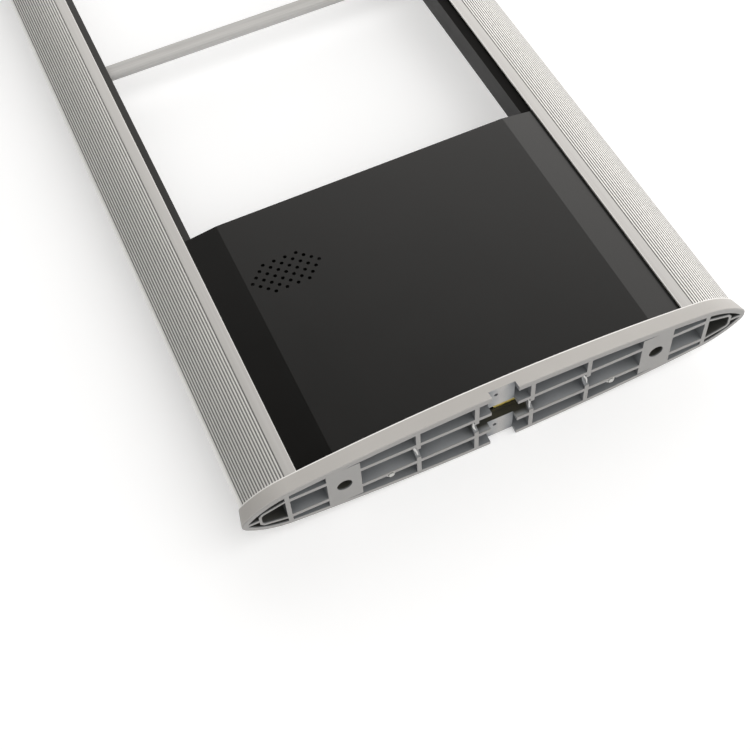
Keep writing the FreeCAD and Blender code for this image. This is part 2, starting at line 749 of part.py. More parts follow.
def end_wall(face):
    """Wall that closes a cover's end down to the middle plane, clear of the trims."""
    flat = COVER_FLAT - GAP
    fall = (TOP_Z - EDGE_Z).number / (SLOPE_END - GAP - flat).number
    side_z = TOP_Z - WALL - (END_SIDE - flat) * fall + WALL / 4
    half_line = [(END_SIDE, GAP), (END_SIDE, side_z), (flat, TOP_Z - WALL / 2)]
    return [(x, z * face) for x, z in mirrored(half_line)]


def cover(label, face):
    body = extrusion(label, cover_shell(face), COVER_START, COVER_TOP - COVER_START)
    wall = new_sketch(body, "XZ_Plane", label + "_end", COVER_TOP - WALL)
    polygon(wall, end_wall(face))
    pad(body, wall, WALL, label + "_end_wall")
    doc.recompute()
    return body


front = cover("front_cover", 1)
cover("rear_cover", -1)

# Moulded ring behind the grille that holds the loudspeaker
GRILLE_X = size("speaker_size") / 2 + size("speaker_rim") * 1.15 - COVER_FLAT
GRILLE_Y = COVER_TOP - size("grille_drop")
ring = new_sketch(front, "XY_Plane", "speaker_ring", TOP_Z - WALL * 2.4)
circle(ring, GRILLE_X, GRILLE_Y, size("speaker_size") + size("speaker_rim") * 2)
circle(ring, GRILLE_X, GRILLE_Y, size("speaker_size") + GAP)
pad(front, ring, WALL * 1.6, "speaker_ring_pad", along_y=False)
doc.recompute()

# Loudspeaker grille: a square grid of small holes, turned by 45 degrees and cut to a hexagon
grille = new_sketch(front, "XY_Plane", "grille_holes", TOP_Z - WALL - 0.5)
grille.AttachmentOffset.Base = FreeCAD.Vector(GRILLE_X.number, GRILLE_Y.number, (TOP_Z - WALL).number)
grille.setExpression("AttachmentOffset.Base.x", GRILLE_X.words)
grille.setExpression("AttachmentOffset.Base.y", GRILLE_Y.words)
HOLE_STEP = size("grille_pitch").number * math.sqrt(0.5)
for line in range(-3, 4):
    in_line = 7 - abs(line)
    for place in range(in_line):
        across = 2 * place - (in_line - 1)
        loose_octagon(grille, HOLE_STEP * across, HOLE_STEP * line, size("grille_hole").number)
doc.recompute()
pocket(front, grille, WALL + 1, "grille_cuts")

UPPER_START = LENS_Y + size("lens_height") + GAP
for label, face in (("upper_front_cover", 1), ("upper_rear_cover", -1)):
    extrusion(label, cover_shell(face), UPPER_START, HEAD_Y - UPPER_START - GAP)


# ---------------------------------------------------------------- alarm light bar

lens_edge = mirrored([(END_SIDE, EDGE_Z - WALL), (COVER_HALF, EDGE_Z - WALL), (COVER_HALF, EDGE_Z),
                      (SLOPE_END, EDGE_Z), (COVER_FLAT, TOP_Z)])
lens = extrusion("alarm_lens", lens_edge + [(x, -z) for x, z in reversed(lens_edge)],
                 LENS_Y, size("lens_height"))
lens_hollow = new_sketch(lens, "XZ_Plane", "lens_hollow", LENS_Y + size("lens_wall"))
HOLLOW_Z = EDGE_Z - WALL - size("lens_wall")
HOLLOW_X = END_SIDE - size("lens_wall")
rectangle(lens_hollow, -HOLLOW_X, HOLLOW_X, -HOLLOW_Z, HOLLOW_Z)
pocket(lens, lens_hollow, size("lens_height") - size("lens_wall"), "lens_hollow_cut")

BOARD = size("board_sheet")
LAMP_Y = UPPER_START + size("lamp_size")
LAMP_HALF = END_SIDE - size("lens_wall") * 2
POST_Y = LAMP_Y + size("lamp_board_width") * 0.75
POST_X = [LAMP_HALF * share for share in (-0.82, 0, 0.82)]
plate("lamp_board", box_points(-LAMP_HALF, LAMP_HALF, LAMP_Y, LAMP_Y + size("lamp_board_width")),
      -BOARD / 2, BOARD, [(x, POST_Y, size("board_screw") + GAP * 2) for x in POST_X])
lamps = []
LAMP_PITCH = (END_SIDE - size("lamp_margin")) / 7.5
HALF_LAMP = size("lamp_size") / 2
for number in range(16):
    lamp_x = LAMP_PITCH * (number - 7.5)
    lamps.append(block(lamp_x - HALF_LAMP, lamp_x + HALF_LAMP, LAMP_Y - HALF_LAMP, LAMP_Y + HALF_LAMP,
                       BOARD / 2, BOARD / 2 + HALF_LAMP))
keep_group("lamp_leds", lamps)

pillars = []
lamp_screws = []
FLOOR_Z = WALL - TOP_Z
for x in POST_X:
    pillar = stud(x, POST_Y, FLOOR_Z, size("pillar_size"), -FLOOR_Z - BOARD / 2, (0, 0, 1))
    pillars.append(pillar.cut(stud(x, POST_Y, FLOOR_Z + WALL, size("board_screw") + GAP / 2,
                                   TOP_Z, (0, 0, 1))))
    lamp_screws.append(hex_screw(x, POST_Y, BOARD / 2, size("board_screw_head"), BOARD,
                                 size("board_screw"), TOP_Z / 2, (0, 0, -1)))
keep_group("lamp_pillars", pillars)
keep_group("lamp_screws", lamp_screws)


# ---------------------------------------------------------------- head cap

head = new_body("head_cap")
shell_of_foot(head, HEIGHT, HEAD_Y, "head")
HEAD_ROOF = size("screw_head_height") * 2.5
head_hollow = new_sketch(head, "XZ_Plane", "head_hollow", HEAD_Y)
HOLLOW_END = SCREW_X - size("end_rib_inset")
rectangle(head_hollow, -HOLLOW_END, HOLLOW_END, -size("well_half"), size("well_half"))
pocket(head, head_hollow, FOOT_H * 0.7, "head_hollow_cut")
profile_tongues(head, "head_tongues", HEAD_Y, False)
head_bores = new_sketch(head, "XZ_Plane", "head_bores", HEAD_Y)
head_sinks = new_sketch(head, "XZ_Plane", "head_sinks", HEIGHT - HEAD_ROOF)
for side in (1, -1):
    many_sided(head_bores, SCREW_X * side, 0, size("fixing_screw") + size("screw_bore_gap"))
    many_sided(head_sinks, SCREW_X * side, 0, size("screw_head") * 1.2)
pocket(head, head_bores, FOOT_H, "head_bore_cuts")
pocket(head, head_sinks, HEAD_ROOF + 1, "head_sink_cuts")


# ---------------------------------------------------------------- screws, washers and nuts

SCREW = size("fixing_screw")
HEAD_SIZE = size("screw_head")
HEAD_HIGH = size("screw_head_height")
profile_screws = []
head_screws = []
chassis_screws = []
washers = []
nuts = []
TAB_TOP = FOOT_H + size("chassis_sheet") + GAP
for side in (1, -1):
    profile_screws.append(hex_screw(SCREW_X * side, DECK_Y, 0, HEAD_SIZE, HEAD_HIGH, SCREW,
                                    FOOT_H * 2, (0, 1, 0)))
    head_screws.append(hex_screw(SCREW_X * side, HEIGHT - HEAD_ROOF, 0, HEAD_SIZE, HEAD_HIGH, SCREW,
                                 FOOT_H * 2, (0, -1, 0)))
    x = FIXING_X * side
    chassis_screws.append(hex_screw(x, size("washer_level"), FIXING_Z, HEAD_SIZE * 0.7,
                                    size("washer_level") * 0.8, SCREW, FOOT_H * 1.3, (0, 1, 0)))
    washer = rod(x, size("washer_level"), FIXING_Z, size("fixing_boss") - GAP, size("washer_thick"))
    washers.append(washer.cut(stud(x, 0, FIXING_Z, SCREW + GAP, SEAT_Y * 2)))
    nut = stud(x, TAB_TOP, FIXING_Z, size("fixing_boss"), size("fixing_boss") * 0.4)
    nuts.append(nut.cut(stud(x, FOOT_H, FIXING_Z, SCREW + GAP / 4, FOOT_H)))
keep_group("profile_screws", profile_screws)
keep_group("head_screws", head_screws)
keep_group("chassis_screws", chassis_screws)
keep_group("chassis_washers", washers)
keep_group("chassis_nuts", nuts)


# ---------------------------------------------------------------- antenna winding

WIND_W = size("winding_width")
WIND_X = STRIP_END


def rounded_loop(sketch, x_half, y_low, y_high, radius):
    """A rectangle with round corners, centred across the panel."""
    x, low, high = plain(x_half), plain(y_low), plain(y_high)
    radius = plain(radius)
    cut = radius * (1 - math.sqrt(0.5))
    loop_of(sketch, [
        ((-x + radius, low), (x - radius, low)),
        ((x - radius, low), (x - cut, low + cut), (x, low + radius)),
        ((x, low + radius), (x, high - radius)),
        ((x, high - radius), (x - cut, high - cut), (x - radius, high)),
        ((x - radius, high), (-x + radius, high)),
        ((-x + radius, high), (-x + cut, high - cut), (-x, high - radius)),
        ((-x, high - radius), (-x, low + radius)),
        ((-x, low + radius), (-x + cut, low + cut), (-x + radius, low)),
    ])


winding = new_body("antenna_winding")
winding_loop = new_sketch(winding, "XY_Plane", "winding_loop",
                          size("winding_z") - size("winding_depth") / 2)
for step in (0, 1):
    depth_in = WIND_W * step
    rounded_loop(winding_loop, WIND_X - depth_in, WIND_LOW + depth_in, HEIGHT - WIND_LOW - depth_in,
                 size("winding_bend") - depth_in)
pad(winding, winding_loop, size("winding_depth"), "winding_pack", along_y=False)
doc.recompute()


# ---------------------------------------------------------------- electronics bay

SHEET = size("chassis_sheet")
CHASSIS_Z = -size("chassis_z")
CHASSIS_TOP = COVER_TOP - size("chassis_drop")
TAB_Y = FOOT_H + GAP / 2
chassis = plate("chassis_plate", box_points(-CHASSIS_HALF, CHASSIS_HALF, TAB_Y, CHASSIS_TOP),
                CHASSIS_Z - SHEET, SHEET)
# Two tabs are folded up out of the sheet: each leaves a window that its nut stands in
tabs = new_sketch(chassis, "XZ_Plane", "chassis_tabs", TAB_Y)
tab_holes = new_sketch(chassis, "XZ_Plane", "chassis_tab_holes", TAB_Y - 0.5)
tab_windows = new_sketch(chassis, "XZ_Plane", "chassis_tab_windows", TAB_Y + SHEET)
TAB_HALF = size("fixing_boss") * 1.1
NUT_ROOM = size("fixing_boss") * 0.65
for side in (1, -1):
    x = FIXING_X * side
    rectangle(tabs, x - TAB_HALF, x + TAB_HALF, CHASSIS_Z - SHEET / 2, FIXING_Z + TAB_HALF * 0.7)
    many_sided(tab_holes, x, FIXING_Z, SCREW + size("screw_bore_gap"))
    rectangle(tab_windows, x - NUT_ROOM, x + NUT_ROOM, CHASSIS_Z - SHEET - 1, CHASSIS_Z + 1)
pad(chassis, tabs, SHEET, "chassis_tab_pads")
doc.recompute()
pocket(chassis, tab_holes, SHEET + 1, "chassis_tab_hole_cuts")
pocket(chassis, tab_windows, size("fixing_boss"), "chassis_tab_window_cuts")
doc.recompute()

STANDOFF = size("standoff_height")
BOARD_Z = CHASSIS_Z + STANDOFF
BOARD_TOP = BOARD_Z + BOARD
LOW_EDGE = FOOT_H + size("board_rise")
HIGH_EDGE = CHASSIS_TOP - size("board_drop")
MARGIN = size("board_margin")
POWER_RIGHT = CHASSIS_HALF - MARGIN
POWER_LEFT = POWER_RIGHT - size("power_board_width")
MAIN_RIGHT = POWER_LEFT - size("board_gap")
MAIN_LEFT = MAIN_RIGHT - size("main_board_width")
main_edge = (MAIN_LEFT, MAIN_RIGHT, LOW_EDGE, HIGH_EDGE)
power_edge = (POWER_LEFT, POWER_RIGHT, LOW_EDGE, HIGH_EDGE - size("board_drop"))


def board_corners(edge):
    x_low, x_high, y_low, y_high = edge
    return [(x, y) for x in (x_low + MARGIN, x_high - MARGIN) for y in (y_low + MARGIN, y_high - MARGIN)]


def on_board(edge, x_share, y_share):
    """A point on a board, given as shares of its width and height."""
    x_low, x_high, y_low, y_high = [plain(value) for value in edge]
    return x_low + (x_high - x_low) * x_share, y_low + (y_high - y_low) * y_share


def standing_block(edge, x_share, y_share, wide, long_side, tall, base=0):
    x, y = on_board(edge, x_share, y_share)
    bottom = BOARD_TOP.number + base
    return block(x - wide / 2, x + wide / 2, y - long_side / 2, y + long_side / 2,
                 bottom, bottom + tall)


for label, edge in (("main_board", main_edge), ("power_board", power_edge)):
    drilled = [(x, y, size("board_screw") + GAP * 2) for x, y in board_corners(edge)]
    plate(label, box_points(*edge), BOARD_Z, BOARD, drilled)

spacers = []
board_screws = []
for x, y in board_corners(main_edge) + board_corners(power_edge):
    spacer = stud(x, y, CHASSIS_Z, size("standoff_size"), STANDOFF, (0, 0, 1))
    thread = stud(x, y, CHASSIS_Z - 1, size("board_screw") + GAP / 2, STANDOFF + 2, (0, 0, 1))
    spacers.append(spacer.cut(thread))
    board_screws.append(hex_screw(x, y, BOARD_TOP, size("board_screw_head"), BOARD,
                                  size("board_screw"), STANDOFF * 0.9, (0, 0, -1)))
keep_group("board_spacers", spacers)
keep_group("board_screws", board_screws)

UNIT = STANDOFF.number
chips = []
for x_share, y_share, wide, long_side in ((0.25, 0.28, 1.75, 1.75), (0.48, 0.53, 1.25, 2.25),
                                          (0.2, 0.53, 1, 1.5), (0.72, 0.78, 1.25, 1.25)):
    chips.append(standing_block(main_edge, x_share, y_share, wide * UNIT, long_side * UNIT, UNIT / 4))
keep_group("board_chips", chips)

cans = []
for x_share, y_share, wide, tall in ((0.8, 0.18, 1.5, 2.5), (0.8, 0.32, 1.5, 2.5), (0.59, 0.87, 1, 1.5)):
    x, y = on_board(main_edge, x_share, y_share)
    cans.append(rod(x, y, BOARD_TOP, wide * UNIT, tall * UNIT, (0, 0, 1)))
keep_group("board_capacitors", cans)

keep_group("tuning_coils", [standing_block(main_edge, 0.5, y_share, UNIT * 1.6, UNIT * 1.6, UNIT * 1.4)
                            for y_share in (0.26, 0.39)])

# Terminal blocks: each has two wire mouths in its lower side and two screw wells on top
TERMINAL = UNIT * 1.25
terminals = []
for x_share in (0.2, 0.39, 0.58):
    strip = standing_block(main_edge, x_share, 0.05, TERMINAL * 1.9, TERMINAL, TERMINAL)
    for step in (-1, 1):
        shift = x_share + 0.035 * step
        strip = strip.cut(standing_block(main_edge, shift, 0.05 - 0.04, UNIT / 2, TERMINAL / 2,
                                         UNIT / 2, UNIT / 5))
        strip = strip.cut(standing_block(main_edge, shift, 0.06, UNIT * 0.4, UNIT * 0.4,
                                         TERMINAL, TERMINAL * 0.6))
    terminals.append(strip)
keep_group("terminal_blocks", terminals)

CORE = UNIT * 4.25
core = standing_block(power_edge, 0.5, 0.48, CORE, CORE * 1.15, UNIT * 3)
core = core.cut(standing_block(power_edge, 0.5, 0.48, CORE * 0.66, CORE * 2, UNIT * 1.75, UNIT * 0.625))
keep_group("transformer_core", [core])
keep_group("transformer_winding", [standing_block(power_edge, 0.5, 0.48, CORE * 0.65, CORE * 1.45,
                                                  UNIT * 1.7, UNIT * 0.65)])
keep_group("power_filters", [standing_block(power_edge, 0.5, y_share, UNIT * 3.25, UNIT * 2, UNIT * 1.9)
                             for y_share in (0.13, 0.84)])

# Ring core round the leads, just behind the foot's open cell, on a cradle of its own
RING_X = size("ring_x")
RING_Z = size("ring_z")
RING_START = FOOT_H + size("ring_stand")
RING_LONG = size("ring_length")
ring_body = new_body("ring_core")
ring_sketch = new_sketch(ring_body, "XZ_Plane", "ring_core_section", RING_START)
circle(ring_sketch, RING_X, RING_Z, size("ring_core"))
many_sided(ring_sketch, RING_X, RING_Z, size("ring_core") * 0.55)
pad(ring_body, ring_sketch, RING_LONG, "ring_core_pad")
doc.recompute()
CRADLE = size("ring_core") * 0.3
cradle = block(RING_X - CRADLE, RING_X + CRADLE, RING_START, RING_START + RING_LONG,
               CHASSIS_Z, RING_Z - size("ring_core") * 0.42)
keep_group("ring_cradle", [cradle.cut(rod(RING_X, RING_START - 1, RING_Z, size("ring_core"), RING_LONG * 2))])

# Loudspeaker, carried in the ring behind the front cover's grille
speaker = new_body("speaker")
speaker_profile = new_sketch(speaker, "XZ_Plane", "speaker_section", GRILLE_Y)
SPEAKER_TOP = TOP_Z - WALL - GAP / 2
SPEAKER_HALF = size("speaker_size") / 2
MAGNET = SPEAKER_HALF / 2
BASE_Z = SPEAKER_TOP - size("speaker_drop")
CONE = SPEAKER_HALF * 0.8
BASKET_Z = BASE_Z + WALL * 3
CONE_Z = SPEAKER_TOP - WALL * 1.5
polygon(speaker_profile, [
    (GRILLE_X, BASE_Z), (GRILLE_X + MAGNET, BASE_Z), (GRILLE_X + MAGNET, BASKET_Z),
    (GRILLE_X + SPEAKER_HALF, BASKET_Z), (GRILLE_X + SPEAKER_HALF, SPEAKER_TOP),
    (GRILLE_X + CONE, SPEAKER_TOP), (GRILLE_X + CONE, CONE_Z), (GRILLE_X, CONE_Z)])
turn = speaker.newObject("PartDesign::Revolution", "speaker_turn")
turn.Profile = speaker_profile
axis = speaker_profile.addGeometry(Part.LineSegment(
    FreeCAD.Vector(GRILLE_X.number, 0, 0), FreeCAD.Vector(GRILLE_X.number, 30, 0)), True)
pin_point(speaker_profile, axis, 1, (GRILLE_X, 0))
speaker_profile.addConstraint(Sketcher.Constraint("Vertical", axis))
turn.ReferenceAxis = (speaker_profile, ["Axis0"])
turn.Angle = 360
speaker.Tip = turn
doc.recompute()


# ---------------------------------------------------------------- checks and export

finished = []
for item in doc.Objects:
    bad = [state for state in item.State if state in ("Invalid", "Error")]
    if bad:
        raise RuntimeError("%s is %s" % (item.Label, bad))
    if item.TypeId == "PartDesign::Body" or item.Name.endswith("_group"):
        finished.append(item)

for item in finished:
    if item.Shape.isNull() or not item.Shape.isValid():
        raise RuntimeError("%s has no valid shape" % item.Label)

os.makedirs("parts", exist_ok=True)
for item in finished:
    item.Shape.exportStep(os.path.join("parts", item.Label + ".step"))
    box = item.Shape.BoundBox
    print("%-20s %2d solids  x %.1f..%.1f  y %.1f..%.1f  z %.1f..%.1f  volume %.0f" % (
        item.Label, len(item.Shape.Solids), box.XMin, box.XMax, box.YMin, box.YMax,
        box.ZMin, box.ZMax, item.Shape.Volume))
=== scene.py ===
import math

import bmesh
import bpy
from mathutils import Matrix, Vector


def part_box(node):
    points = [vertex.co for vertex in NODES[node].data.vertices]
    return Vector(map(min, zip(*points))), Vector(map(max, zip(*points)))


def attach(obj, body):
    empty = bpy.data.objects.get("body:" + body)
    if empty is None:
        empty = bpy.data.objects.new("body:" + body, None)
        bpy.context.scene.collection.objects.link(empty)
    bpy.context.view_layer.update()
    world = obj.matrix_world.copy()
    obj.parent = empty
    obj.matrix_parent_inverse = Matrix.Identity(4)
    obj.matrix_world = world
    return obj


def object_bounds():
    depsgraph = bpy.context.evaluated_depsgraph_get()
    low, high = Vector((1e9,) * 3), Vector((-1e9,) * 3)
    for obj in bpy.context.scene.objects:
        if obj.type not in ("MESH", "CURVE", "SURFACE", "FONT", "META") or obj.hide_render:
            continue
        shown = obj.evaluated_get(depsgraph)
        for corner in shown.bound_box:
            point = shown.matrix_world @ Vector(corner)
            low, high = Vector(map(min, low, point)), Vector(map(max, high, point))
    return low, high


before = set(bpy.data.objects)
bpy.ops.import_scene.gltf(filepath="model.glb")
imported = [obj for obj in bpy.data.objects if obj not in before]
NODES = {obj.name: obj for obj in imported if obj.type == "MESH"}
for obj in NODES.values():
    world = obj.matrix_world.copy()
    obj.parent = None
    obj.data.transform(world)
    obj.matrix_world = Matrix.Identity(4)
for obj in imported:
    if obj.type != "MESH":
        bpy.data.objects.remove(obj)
CAD_LOW, CAD_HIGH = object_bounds()
MIDDLE_Z = (CAD_LOW.z + CAD_HIGH.z) / 2
MM = 0.001

# Places on the gate that the looks follow
FOOT_REACH = -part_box("base_foot")[0].y
DECK_EDGE = -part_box("left_profile")[0].y
OPENING_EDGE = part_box("right_profile")[0].x
BAND_EDGE = OPENING_EDGE + 9.1 * MM
CROSS_RIBS = (-71.2 * MM, -23.1 * MM, 23.1 * MM, 71.2 * MM)
NOTCH_RADIUS = 6 * MM
NOSE_START = 175.2 * MM
ANCHOR_X = 130 * MM
ANCHOR_RADIUS = 6 * MM
CABLE_WAY_HALF = Vector((19.5 * MM, 0, 9.76 * MM))

# How deep the painted shade in the recesses starts behind the foot's rim, and how far each tone fades:
# painted shade in the cable way, holes, nose wells and rim faces, painted highlights on the foot's
# upper edge, the profiles' ridges and their lip
CABLE_WAY_DEPTH = 6 * MM
CABLE_WAY_FADE = Vector((12 * MM, 3.8 * MM, 0.04 * MM))
HOLE_DEPTH = 1.6 * MM
HOLE_FADE = Vector((0.2 * MM, 1.2 * MM, 0.2 * MM))
NOSE_FADE = 1.2 * MM
RIM_DEPTH = 1.2 * MM
EDGE_WIDTH = 0.6 * MM
EDGE_FADE = 0.8 * MM
BAND_FADE = 0.6 * MM
LIP_WIDTH = 0.3 * MM
LIP_FADE = 0.5 * MM

# How far the foot's cells and the profiles' grooves look round for walls, for the shade painted into
# them
CELL_REACH = 20 * MM
GROOVE_REACH = 1.6 * MM
SHADE_SAMPLES = 12
COAT_ROUGHNESS = 0.1

# The curls of flash in the cross ribs' notches
FLASH_PHASES = (0.4, 1.3, 2.2, 3.1)
FLASH_STEPS = 22
FLASH_START = math.radians(18)
FLASH_SWEEP = math.radians(118)
FLASH_END_HALF = 0.35 * MM
FLASH_SWELL = 0.75 * MM
FLASH_RIM_LIFT = 0.35 * MM
FLASH_RIPPLE = 0.3 * MM
FLASH_RIPPLES = 9
FLASH_SWAY = 0.7 * MM
FLASH_SWAYS = 7
FLASH_THICKNESS = 0.45 * MM

# The studio: a long reflector that glows towards the far right, soft panels overhead, a floor
WALL_GLOW = (1.17, 1.38, -0.36)
WALL_LIMITS = (0.05, 1.9)
PANELS = (((0.45, -0.6, 0.66), 1.42), ((-0.5, -0.5, 0.7), 0.7))
PANEL_EDGE = (0.55, 0.95)
FLOOR_REACH = 12.0
FLOOR_DROP = 0.5 * MM
FLOOR_GLOW = 0.31

# The soft light on the right, and the camera
LIGHT_AIM = Vector((0, CAD_LOW.y + 0.2, 0.03))
LIGHT_OFFSET = Vector((1.9, -0.6, 1.2))
LIGHT_SIDE = 1.4
LIGHT_POWER = 4
LIGHT_TINT = (1, 0.98, 0.95)
CAMERA_PLACE = Vector((-0.257, CAD_LOW.y - 0.4295, MIDDLE_Z + 0.813))
CAMERA_AIM = Vector((-0.0662, CAD_LOW.y + 0.0764, MIDDLE_Z))
CAMERA_ROLL = math.radians(4.99)
CAMERA_LENS = 61.4
CAMERA_SENSOR = 36
CAMERA_SHIFT = (-0.0074, -0.0023)
CAMERA_CLIP = (0.02, 60)


# ---------------------------------------------------------------- material building blocks

class Recipe:
    """One procedural material: a Principled shader and the nodes that feed it."""

    def __init__(self, name, metallic=0.0, specular=0.5, coat=0.0, **fixed):
        self.material = bpy.data.materials.new(name)
        self.material.use_nodes = True
        self.tree = self.material.node_tree
        self.tree.nodes.clear()
        self.output = self.node("ShaderNodeOutputMaterial")
        self.shader = self.node("ShaderNodeBsdfPrincipled")
        self.link(self.shader, "BSDF", self.output, "Surface")
        self.shader.inputs["Metallic"].default_value = metallic
        self.shader.inputs["Specular IOR Level"].default_value = specular
        self.shader.inputs["Coat Weight"].default_value = coat
        self.shader.inputs["Coat Roughness"].default_value = COAT_ROUGHNESS
        for socket, value in fixed.items():
            self.shader.inputs[socket.replace("_", " ")].default_value = value
        self.place = self.node("ShaderNodeTexCoord")

    def node(self, kind, **settings):
        made = self.tree.nodes.new(kind)
        for name, value in settings.items():
            setattr(made, name, value)
        return made

    def link(self, source, output, target, socket):
        self.tree.links.new(source.outputs[output], target.inputs[socket])

    def mapped(self, scale):
        """Object coordinates, in metres, stretched by a scale per axis."""
        mapping = self.node("ShaderNodeMapping")
        mapping.inputs["Scale"].default_value = scale
        self.link(self.place, "Object", mapping, "Vector")
        return mapping

    def noise(self, scale, detail=3.0, roughness=0.55):
        """Cloudy noise; scale is in cells per metre along each axis."""
        mapping = self.mapped(scale)
        noise = self.node("ShaderNodeTexNoise")
        noise.inputs["Scale"].default_value = 1.0
        noise.inputs["Detail"].default_value = detail
        noise.inputs["Roughness"].default_value = roughness
        self.link(mapping, "Vector", noise, "Vector")
        return noise

    def ramp(self, source, output, stops):
        """A value turned into a colour through stops of (position, colour)."""
        ramp = self.node("ShaderNodeValToRGB")
        elements = ramp.color_ramp.elements
        while len(elements) < len(stops):
            elements.new(0.5)
        for element, (position, colour) in zip(elements, stops):
            element.position = position
            element.color = (*colour, 1)
        self.link(source, output, ramp, "Fac")
        return ramp

    def between(self, source, output, low, high, from_low=0.3, from_high=0.7):
        """A value's range stretched onto low to high, and held at both ends."""
        spread = self.node("ShaderNodeMapRange")
        spread.inputs["From Min"].default_value = from_low
        spread.inputs["From Max"].default_value = from_high
        spread.inputs["To Min"].default_value = low
        spread.inputs["To Max"].default_value = high
        self.link(source, output, spread, "Value")
        return spread

    def below(self, source, output, edge, fade):
        """1 up to an edge, fading to 0 beyond it."""
        return self.between(source, output, 1.0, 0.0, edge, edge + fade)

    def above(self, source, output, edge, fade):
        """0 up to an edge, fading to 1 beyond it."""
        return self.between(source, output, 0.0, 1.0, edge, edge + fade)

    def axis(self, name, absolute=False):
        """One object coordinate, in metres, or its distance from the middle plane."""
        split = self.node("ShaderNodeSeparateXYZ")
        self.link(self.place, "Object", split, "Vector")
        if not absolute:
            return split, name
        size = self.node("ShaderNodeMath", operation="ABSOLUTE")
        self.link(split, name, size, 0)
        return size, "Value"

    def distance(self, source, output, middle):
        """How far one coordinate is from a middle value."""
        offset = self.node("ShaderNodeMath", operation="SUBTRACT")
        offset.inputs[1].default_value = middle
        self.link(source, output, offset, 0)
        size = self.node("ShaderNodeMath", operation="ABSOLUTE")
        self.link(offset, "Value", size, 0)
        return size

    def product(self, first, *others):
        """Shares multiplied together."""
        total, output = first, "Result"
        for other in others:
            both = self.node("ShaderNodeMath", operation="MULTIPLY")
            self.link(total, output, both, 0)
            self.link(other, "Result", both, 1)
            total, output = both, "Value"
        return total

    def crevices(self, reach, low, high):
        """0 in the depth of a recess and 1 on open faces."""
        shade = self.node("ShaderNodeAmbientOcclusion", only_local=True,
                          samples=SHADE_SAMPLES)
        shade.inputs["Distance"].default_value = reach
        return self.between(shade, "AO", 0.0, 1.0, low, high)

    def blend(self, share, below, above, output="Result"):
        """Mix two colours, given as tuples or as node outputs, by a share from 0 to 1."""
        mix = self.node("ShaderNodeMix", data_type="RGBA")
        self.link(share, output, mix, "Factor")
        for socket, value in ((6, below), (7, above)):
            if isinstance(value, tuple):
                mix.inputs[socket].default_value = (*value, 1)
            else:
                self.tree.links.new(value.outputs[2 if value.bl_idname == "ShaderNodeMix" else 0],
                                    mix.inputs[socket])
        return mix

    def shade_with(self, mix):
        self.tree.links.new(mix.outputs[2], self.shader.inputs["Base Color"])

    def colour(self, source):
        self.link(source, "Color", self.shader, "Base Color")

    def roughness(self, source):
        self.link(source, "Result", self.shader, "Roughness")

    def bump(self, source, output, height):
        """Fine relief of a height in metres, on top of the real shape."""
        bump = self.node("ShaderNodeBump")
        bump.inputs["Distance"].default_value = height
        self.link(source, output, bump, "Height")
        self.link(bump, "Normal", self.shader, "Normal")


def brushed_metal(name, dark, light, lines, rough, line_height=0.00001, metallic=1.0):
    """Metal drawn or brushed along one axis; lines is the noise scale per axis."""
    made = Recipe(name, metallic=metallic)
    streaks = made.noise(lines, detail=4.0, roughness=0.6)
    made.colour(made.ramp(streaks, "Fac", [(0.3, dark), (0.7, light)]))
    patches = made.noise((14, 9, 14), detail=2.0)
    made.roughness(made.between(patches, "Fac", rough[0], rough[1]))
    made.bump(streaks, "Fac", line_height)
    return made.material


def moulded_plastic(name, dark, light, rough, grain=2600, grain_height=0.00002, specular=0.5,
                    coat=0.0):
    """Moulded or powder-coated surface: a faint cloud of tone over a fine grain."""
    made = Recipe(name, specular=specular, coat=coat)
    cloud = made.noise((11, 11, 11))
    made.colour(made.ramp(cloud, "Fac", [(0.32, dark), (0.68, light)]))
    smudge = made.noise((26, 17, 26), detail=4.0)
    made.roughness(made.between(smudge, "Fac", rough[0], rough[1]))
    fine = made.noise((grain, grain, grain), detail=2.0)
    made.bump(fine, "Fac", grain_height)
    return made.material


def painted_recess_shade(made, depth, output):
    """Share of painted shade: 1 in the cable way and the anchor holes, which open into the dark, and 0
    elsewhere.
    """
    across, value = made.axis("X", absolute=True)
    split, z = made.axis("Z")
    height = made.distance(split, z, MIDDLE_Z)
    way = made.product(
        made.below(across, value, CABLE_WAY_HALF.x, CABLE_WAY_FADE.x),
        made.below(height, "Value", CABLE_WAY_HALF.z - CABLE_WAY_FADE.z, CABLE_WAY_FADE.z),
        made.below(depth, output, FOOT_REACH - CABLE_WAY_DEPTH, CABLE_WAY_FADE.y))
    beside = made.distance(across, value, ANCHOR_X)
    hole = made.product(
        made.below(beside, "Value", ANCHOR_RADIUS + HOLE_FADE.x, HOLE_FADE.x),
        made.below(height, "Value", ANCHOR_RADIUS + HOLE_FADE.z, HOLE_FADE.z),
        made.below(depth, output, FOOT_REACH - HOLE_DEPTH, HOLE_FADE.y))
    either = made.node("ShaderNodeMath", operation="MAXIMUM")
    made.link(way, "Value", either, 0)
    made.link(hole, "Value", either, 1)
    return either


